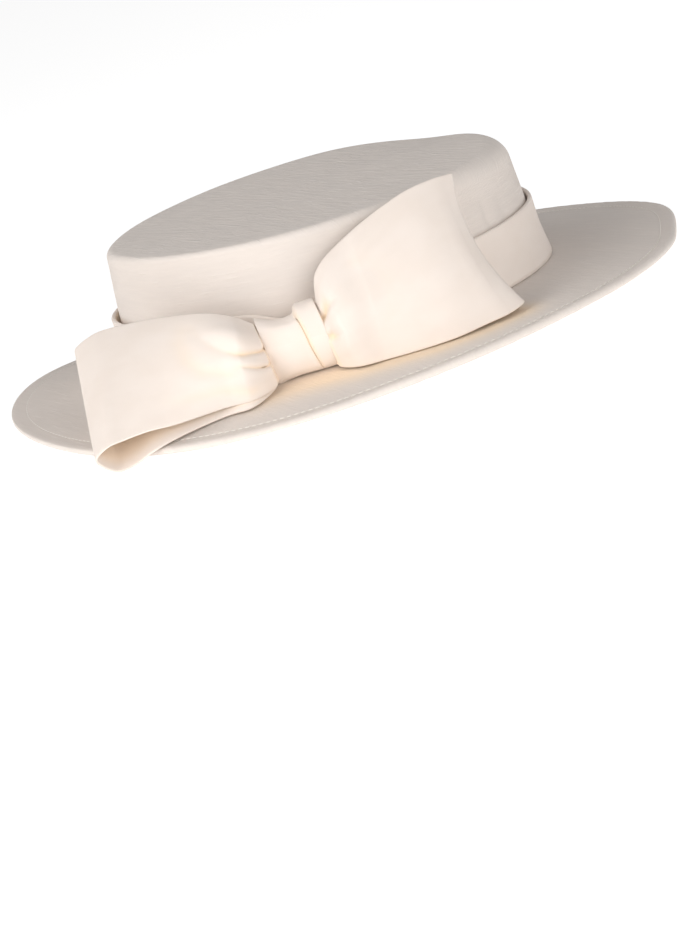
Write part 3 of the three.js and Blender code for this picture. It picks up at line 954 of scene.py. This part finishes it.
# %% Both loops
LEFT_GATHERS = [
    ([(-33, 36), (-36, 35), (-46, 30.5), (-50, 33)], -1.9, 2.4, 1.0),
    ([(-44, 31), (-50, 33), (-54, 36.5), (-58, 43.5), (-59, 49)], -0.9, 3.4, 0.8),
    ([(-33, 19.5), (-36, 20), (-45.5, 22), (-49.5, 19)], -1.6, 1.9, 1.0),
    ([(-52, 18), (-60.6, 21.5), (-65.6, 29), (-66.8, 40.5), (-64, 50)], -0.6, 4.0, 0.6),
    ([(-44, 5), (-55, 8.5), (-66.6, 9), (-78, 10)], -0.7, 3.5, 0.8),
]
LEFT_PUFFS = [((-47, 43), (8, 9), 2.0)]
LEFT_SWELL = ((-33.0, -35.5), -1, (4.5, 5.0, 3.5, 1.5), 0.3)
RIGHT_GATHERS = [
    ([(-13, 51), (-10.9, 50), (-9, 48.5), (-7, 44), (-5, 40), (0, 38)], -2.2, 1.9, 1.0),
    ([(-11, 32.5), (-8.6, 31), (-7, 26.5), (-4.5, 22), (-1.4, 20.5)], -2.4, 1.8, 1.0),
    ([(10, 46), (16, 40), (19, 30), (17, 18), (11.5, 13)], -0.25, 5.0, 0.4),
]
RIGHT_PUFFS = [((4, 28), (9, 11), 1.4)]
RIGHT_SWELL = ((-7.5, -11.0), 1, (3.0, 4.5, 4.4, 2.6), -0.9)

bow_loop(
    "bow_loop_left_ribbon", "bow_loop_left", LEFT_SECTIONS, LEFT_FOLD, 0.0,
    LEFT_GATHERS, LEFT_PUFFS, LEFT_SWELL,
)
bow_loop(
    "bow_loop_right_ribbon", "bow_loop_right", RIGHT_SECTIONS, RIGHT_FOLD, 5.6,
    RIGHT_GATHERS, RIGHT_PUFFS, RIGHT_SWELL,
)

# %% [markdown]
# ## The knot
#
# The knot is a strip of the ribbon drawn round the middle of the bow and sewn behind it. A last
# fold of it lies over the right side as a narrow pleat. It is a leaning oval ring, a little
# squarer than an ellipse, with a crisp step where the pleat lies on it.

# %% Knot
KNOT_Y, KNOT_Z = -103.1, 18.7
KNOT_DEEP, KNOT_TALL = 8.0, 12.8
KNOT_LEAN = math.radians(6)
KNOT_BEND = 130.0
KNOT_SQUARE = 2.6
KNOT_TOP = (-35.5, -19.5, -11.0)  # X of its left edge, of the pleat and of its right edge
KNOT_BOTTOM = (-33.0, -14.0, -7.5)
PLEAT_FROM, PLEAT_EDGE, PLEAT_STEP = 0.7, 0.02, 1.3
KNOT_PUFF = 0.5
KNOT_ROUND, KNOT_WIDTH = 70.0, 26.0  # the strip's length and width on the flat ribbon
ROUND_STEPS, STRIP_STEPS, EDGE_STEPS_UP, PLEAT_STEPS = 120, 16, 5, 10
TALLER_FROM = (0.2, 0.9)  # where on its way up or down the lines below take hold, and are full
# How wide the painted warm light along the pleat's step is.
STEP_PAINTED_LIGHT_WIDE = 0.03
# How much taller than that its top is, from the left edge to the right.
KNOT_TOP_LINE = [(0, -0.8), (0.12, -1.9), (0.3, -3.2), (0.5, -3.6), (0.69, -2.8), (0.73, 0.9), (1, 1.1)]
# And how much further down its bottom reaches.
KNOT_FOOT_LINE = [(0, 2.6), (0.15, 1.6), (0.35, 0.9), (1, 0.9)]


def rounded(value):
    """The sine or cosine of a squared-off oval."""
    return np.sign(value) * np.abs(value) ** (2 / KNOT_SQUARE)


around = np.linspace(0, 2 * math.pi, ROUND_STEPS, endpoint=False)[:, None]
stations = [
    np.linspace(0, PLEAT_FROM, STRIP_STEPS, endpoint=False),
    np.linspace(PLEAT_FROM, PLEAT_FROM + PLEAT_EDGE, EDGE_STEPS_UP, endpoint=False),
    np.linspace(PLEAT_FROM + PLEAT_EDGE, 1, PLEAT_STEPS),
]
across = np.concatenate(stations)[None, :]
facing = np.maximum(0, np.cos(around))
proud = PLEAT_STEP * smooth_step(across, PLEAT_FROM, PLEAT_FROM + PLEAT_EDGE) * facing**0.5
puffed = KNOT_PUFF * np.sin(np.clip(across / PLEAT_FROM, 0, 1) * math.pi) * facing
deep = (KNOT_DEEP + proud + puffed) * rounded(np.cos(around))
top_line = np.interp(across, *zip(*KNOT_TOP_LINE))
foot_line = np.interp(across, *zip(*KNOT_FOOT_LINE))
tall = KNOT_TALL + top_line * smooth_step(np.sin(around), *TALLER_FROM)
tall = tall + foot_line * smooth_step(-np.sin(around), *TALLER_FROM)
tall = tall * rounded(np.sin(around))
share = (np.sin(around) + 1) / 2
left, pleat, right_edge = (low + (high - low) * share for low, high in zip(KNOT_BOTTOM, KNOT_TOP))
on_band = across / PLEAT_FROM
on_pleat = (across - PLEAT_FROM) / (1 - PLEAT_FROM)
x = np.where(across < PLEAT_FROM, left + (pleat - left) * on_band, pleat + (right_edge - pleat) * on_pleat)
bent = (x - CROWN_SHIFT) ** 2 / (2 * KNOT_BEND)
y = KNOT_Y + bent - deep * math.cos(KNOT_LEAN) + tall * math.sin(KNOT_LEAN)
z = KNOT_Z + deep * math.sin(KNOT_LEAN) + tall * math.cos(KNOT_LEAN)
knot_middle = np.stack([x, y, z], -1)

closed = np.concatenate([knot_middle[-2:], knot_middle, knot_middle[:2]])
knot_points = thickened(closed, RIBBON_CLOTH)[2:-2]
round_knot = np.linspace(0, KNOT_ROUND * CM, ROUND_STEPS + 1)[:, None]
knot_threads = wrapped_threads(round_knot + 0 * across, KNOT_WIDTH * CM * across + 0 * round_knot)
knot = sheet_of("bow_knot_ribbon", knot_points, knot_threads, rows_meet=True, columns_meet=True)
# Painted warm light: over the whole of one face of the strip, and on the other along the step where the
# pleat lies on it.
step_painted_warm_light = np.exp(-(((across - PLEAT_FROM) / STEP_PAINTED_LIGHT_WIDE) ** 2)) * facing
store_painted_warm_light(knot, np.ones_like(step_painted_warm_light), step_painted_warm_light)
knot = sewn_up(knot, ribbon)
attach(knot, "root")
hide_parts("bow_knot")

# %% [markdown]
# ## The hem's stitches
#
# The turned hem is held by a row of small machine stitches in a groove. They are fine, but they
# catch the light all the way round the brim, so they are real threads: short rounded rods, each
# dipping into the cloth at its ends, joined in one mesh. A painted dashed line would look flat at
# the near edge.

# %% Stitches
STITCH_PITCH = 3.0
STITCH_LENGTH = 2.3
THREAD_RADIUS = 0.24
STITCH_RINGS, THREAD_SIDES = 6, 6
STITCH_DIP = 0.25
BLUNT = 0.02  # keeps a stitch's ends from coming to a point
THREAD_CREAM, THREAD_PALE = (0.88, 0.82, 0.75), (0.96, 0.92, 0.86)


def thread_material():
    """Ivory sewing thread with a slight gloss."""
    material, tree, shader = node_material("ivory_thread")
    where = tree.nodes.new("ShaderNodeTexCoord").outputs["Object"]
    twist = waves(tree, mapped(tree, where, (4000, 4000, 4000)), "DIAGONAL", 1.0)
    colour = blended(tree, twist, THREAD_CREAM, THREAD_PALE)
    tree.links.new(colour, shader.inputs["Base Color"])
    tree.links.new(raised(tree, twist, 0.03 * MM), shader.inputs["Normal"])
    tree.links.new(ranged(tree, twist, 0.0, 1.0, 0.55, 0.4), shader.inputs["Roughness"])
    return material


def hem_stitches(name, side, lift):
    """The stitches on one face of the brim, as one mesh. The side is 1 on top and -1 below."""
    count = round(2 * math.pi * STITCH_RADIUS / STITCH_PITCH)
    start = round_the_hat(count)[:, None, None]
    along = np.linspace(-1, 1, STITCH_RINGS)[None, :, None]
    turn = np.linspace(0, 2 * math.pi, THREAD_SIDES, endpoint=False)[None, None, :]
    angle = start + along * STITCH_LENGTH / 2 / STITCH_RADIUS
    thin = np.sqrt(np.maximum(1 - along**4, BLUNT)) * THREAD_RADIUS
    radius = STITCH_RADIUS + brim_stretch(STITCH_RADIUS, angle) + thin * np.cos(turn)
    rise = side * (lift - STITCH_DIP * along**2) + thin * np.sin(turn)
    z = brim_height(STITCH_RADIUS, angle) + brim_sway(STITCH_RADIUS, angle) + rise
    points = np.stack(np.broadcast_arrays(radius * np.cos(angle), radius * np.sin(angle), z), -1)
    stitches, rows, columns = points.shape[:3]
    vertices = standing(points.reshape(-1, 3))
    i, j = (grid.ravel() for grid in np.meshgrid(np.arange(rows - 1), np.arange(columns), indexing="ij"))
    corners = [(i, j), (i + 1, j), (i + 1, j + 1), (i, j + 1)]
    ring = np.stack([a * columns + b % columns for a, b in corners], 1)
    first = np.arange(stitches)[:, None, None] * rows * columns
    sides = (ring[None] + first).reshape(-1, 4).tolist()
    caps = []
    for stitch in range(stitches):
        base = stitch * rows * columns
        caps.append([base + k for k in range(columns)])
        caps.append([base + (rows - 1) * columns + k for k in reversed(range(columns))])
    mesh = bpy.data.meshes.new(name)
    mesh.from_pydata(vertices.tolist(), [], sides + caps)
    piece = bpy.data.objects.new(name, mesh)
    bpy.context.scene.collection.objects.link(piece)
    sewn_up(piece, thread)
    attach(piece, "root")
    print(f"{name}: {stitches} stitches")


thread = thread_material()
hem_stitches("hem_stitches_top", 1, 0.98)
hem_stitches("hem_stitches_under", -1, 0.7)
